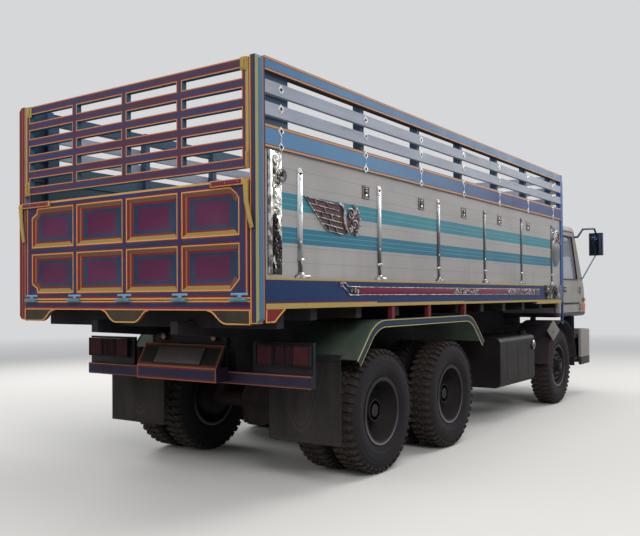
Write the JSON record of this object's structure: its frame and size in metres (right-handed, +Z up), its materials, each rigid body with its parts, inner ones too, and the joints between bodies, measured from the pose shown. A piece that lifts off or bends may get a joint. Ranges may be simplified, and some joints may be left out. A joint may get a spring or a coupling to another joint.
{
  "type": "ten-wheel cargo truck with a high slatted body",
  "caption": "Cargo truck with a tall stake body, slatted upper rails, painted rear gates, bright straps, tandem twin wheels and a flat-fronted cab",
  "frame": {"origin": "on the ground, under the middle of the whole truck's length and width", "axes": "+X is the way it drives, +Y is its left side, +Z is up"},
  "size_m": [7.73, 2.825, 2.975],
  "materials": {
    "navy_paint": "glossy navy paint with painted lines",
    "white_panel": "pale grey-white panel paint",
    "rail_blue": "steel-blue paint with orange edges",
    "gate_paint": "purple-navy gate paint with orange and red lines",
    "strap_chrome": "polished embossed strip",
    "latch_yellow": "yellow paint",
    "plank_wood": "worn planks",
    "chassis_black": "near-black chassis paint with dust",
    "bearer_paint": "dark paint",
    "guard_blue": "blue paint",
    "guard_skin": "grey-green sheet with a navy edge",
    "flap_rubber": "dusty rubber sheet",
    "lamp_red": "red lens",
    "lamp_clear": "clear lens",
    "cast_metal": "dark cast metal",
    "spring_steel": "dark leaf springs",
    "tank_metal": "dull aluminium",
    "box_black": "black box",
    "exhaust_steel": "heat-stained steel",
    "cab_white": "off-white cab paint",
    "window_glass": "tinted window glass",
    "seat_cloth": "dark seat cloth",
    "dash_plastic": "dark dashboard plastic",
    "helm_plastic": "black steering wheel",
    "grille_dark": "dark grille",
    "bumper_paint": "off-white bumper paint",
    "step_steel": "dark steps",
    "mirror_paint": "dark mirror head on painted arms",
    "tyre_rubber": "dusty tyre rubber",
    "wheel_paint": "dusty dark wheel paint"
  },
  "bodies": {
    "truck": {"chassis_frame": "chassis_black", "subframe": "bearer_paint", "floor_bearers": "bearer_paint", "body_floor": "plank_wood", "corner_posts": "navy_paint", "side_wall_right": "white_panel", "side_wall_left": "white_panel", "side_rack_right": "rail_blue", "side_rack_left": "rail_blue", "headboard": "rail_blue", "rear_sill": "navy_paint", "side_straps": "strap_chrome", "guard_pipes": "guard_blue", "mudguards": "guard_skin", "mudflaps": "flap_rubber", "rear_bumper": "chassis_black", "tail_lamps": "lamp_red", "plate_board": "chassis_black", "rear_axles": "cast_metal", "front_axle": "cast_metal", "springs": "spring_steel", "engine_block": "cast_metal", "driveline": "cast_metal", "fuel_tank": "tank_metal", "battery_box": "box_black", "air_tanks": "chassis_black", "exhaust": "exhaust_steel", "cab_shell": "cab_white", "cab_glass": "window_glass", "seats": "seat_cloth", "dashboard": "dash_plastic", "steering_wheel": "helm_plastic", "grille": "grille_dark", "front_bumper": "bumper_paint", "headlamps": "lamp_clear", "front_fenders": "cab_white", "cab_steps": "step_steel", "mirrors": "mirror_paint"},
    "lower_gate": {"lower_gate": "gate_paint", "gate_latches": "latch_yellow"},
    "upper_gate": {"upper_gate": "gate_paint"},
    "door_left": {"door_left": "cab_white", "door_glass_left": "window_glass"},
    "door_right": {"door_right": "cab_white", "door_glass_right": "window_glass"},
    "knuckle_left": {"knuckle_left": "cast_metal"},
    "knuckle_right": {"knuckle_right": "cast_metal"},
    "track_rod": {"track_rod": "cast_metal"},
    "front_wheel_right": {"tyre_front_right": "tyre_rubber", "wheel_front_right": "wheel_paint"},
    "rear_wheel_1_right": {"tyres_rear_1_right": "tyre_rubber", "wheels_rear_1_right": "wheel_paint"},
    "rear_wheel_2_right": {"tyres_rear_2_right": "tyre_rubber", "wheels_rear_2_right": "wheel_paint"},
    "front_wheel_left": {"tyre_front_left": "tyre_rubber", "wheel_front_left": "wheel_paint"},
    "rear_wheel_1_left": {"tyres_rear_1_left": "tyre_rubber", "wheels_rear_1_left": "wheel_paint"},
    "rear_wheel_2_left": {"tyres_rear_2_left": "tyre_rubber", "wheels_rear_2_left": "wheel_paint"}
  },
  "joints": [
    {"name": "steer_left", "type": "hinge", "parent": "truck", "child": "knuckle_left", "pos_m": [2.587, 0.87, 0.5], "axis": [0, 0, 1], "range_deg": [-35, 35]},
    {"name": "steer_right", "type": "hinge", "parent": "truck", "child": "knuckle_right", "pos_m": [2.587, -0.87, 0.5], "axis": [0, 0, 1], "range_deg": [-35, 35]},
    {"name": "track_rod_eye", "type": "hinge", "parent": "knuckle_left", "child": "track_rod", "pos_m": [2.397, 0.87, 0.381], "axis": [0, 0, 1], "range_deg": [-35, 35]},
    {"name": "front_roll_left", "type": "hinge", "parent": "knuckle_left", "child": "front_wheel_left", "pos_m": [2.587, 1.01, 0.5], "axis": [0, 1, 0], "continuous": true},
    {"name": "front_roll_right", "type": "hinge", "parent": "knuckle_right", "child": "front_wheel_right", "pos_m": [2.587, -1.01, 0.5], "axis": [0, 1, 0], "continuous": true},
    {"name": "lower_gate_hinge", "type": "hinge", "parent": "truck", "child": "lower_gate", "pos_m": [-3.853, 0, 1.4115], "axis": [0, -1, 0], "range_deg": [0, 180]},
    {"name": "upper_gate_hinge", "type": "hinge", "parent": "truck", "child": "upper_gate", "pos_m": [-3.8175, 0, 2.933], "axis": [0, 1, 0], "range_deg": [0, 90]},
    {"name": "door_left_hinge", "type": "hinge", "parent": "truck", "child": "door_left", "pos_m": [3.47, 1.164, 1.374], "axis": [0, 0, -1], "range_deg": [0, 70]},
    {"name": "door_right_hinge", "type": "hinge", "parent": "truck", "child": "door_right", "pos_m": [3.47, -1.164, 1.374], "axis": [0, 0, 1], "range_deg": [0, 70]},
    {"name": "rear_roll_1_left", "type": "hinge", "parent": "truck", "child": "rear_wheel_1_left", "pos_m": [-2.185, 0.91, 0.5], "axis": [0, 1, 0], "continuous": true},
    {"name": "rear_roll_1_right", "type": "hinge", "parent": "truck", "child": "rear_wheel_1_right", "pos_m": [-2.185, -0.91, 0.5], "axis": [0, 1, 0], "continuous": true},
    {"name": "rear_roll_2_left", "type": "hinge", "parent": "truck", "child": "rear_wheel_2_left", "pos_m": [-0.885, 0.91, 0.5], "axis": [0, 1, 0], "continuous": true},
    {"name": "rear_roll_2_right", "type": "hinge", "parent": "truck", "child": "rear_wheel_2_right", "pos_m": [-0.885, -0.91, 0.5], "axis": [0, 1, 0], "continuous": true}
  ],
  "couplings": [
    {"joint": "steer_right", "follows": "steer_left", "ratio": 1},
    {"joint": "track_rod_eye", "follows": "steer_left", "ratio": -1}
  ]
}
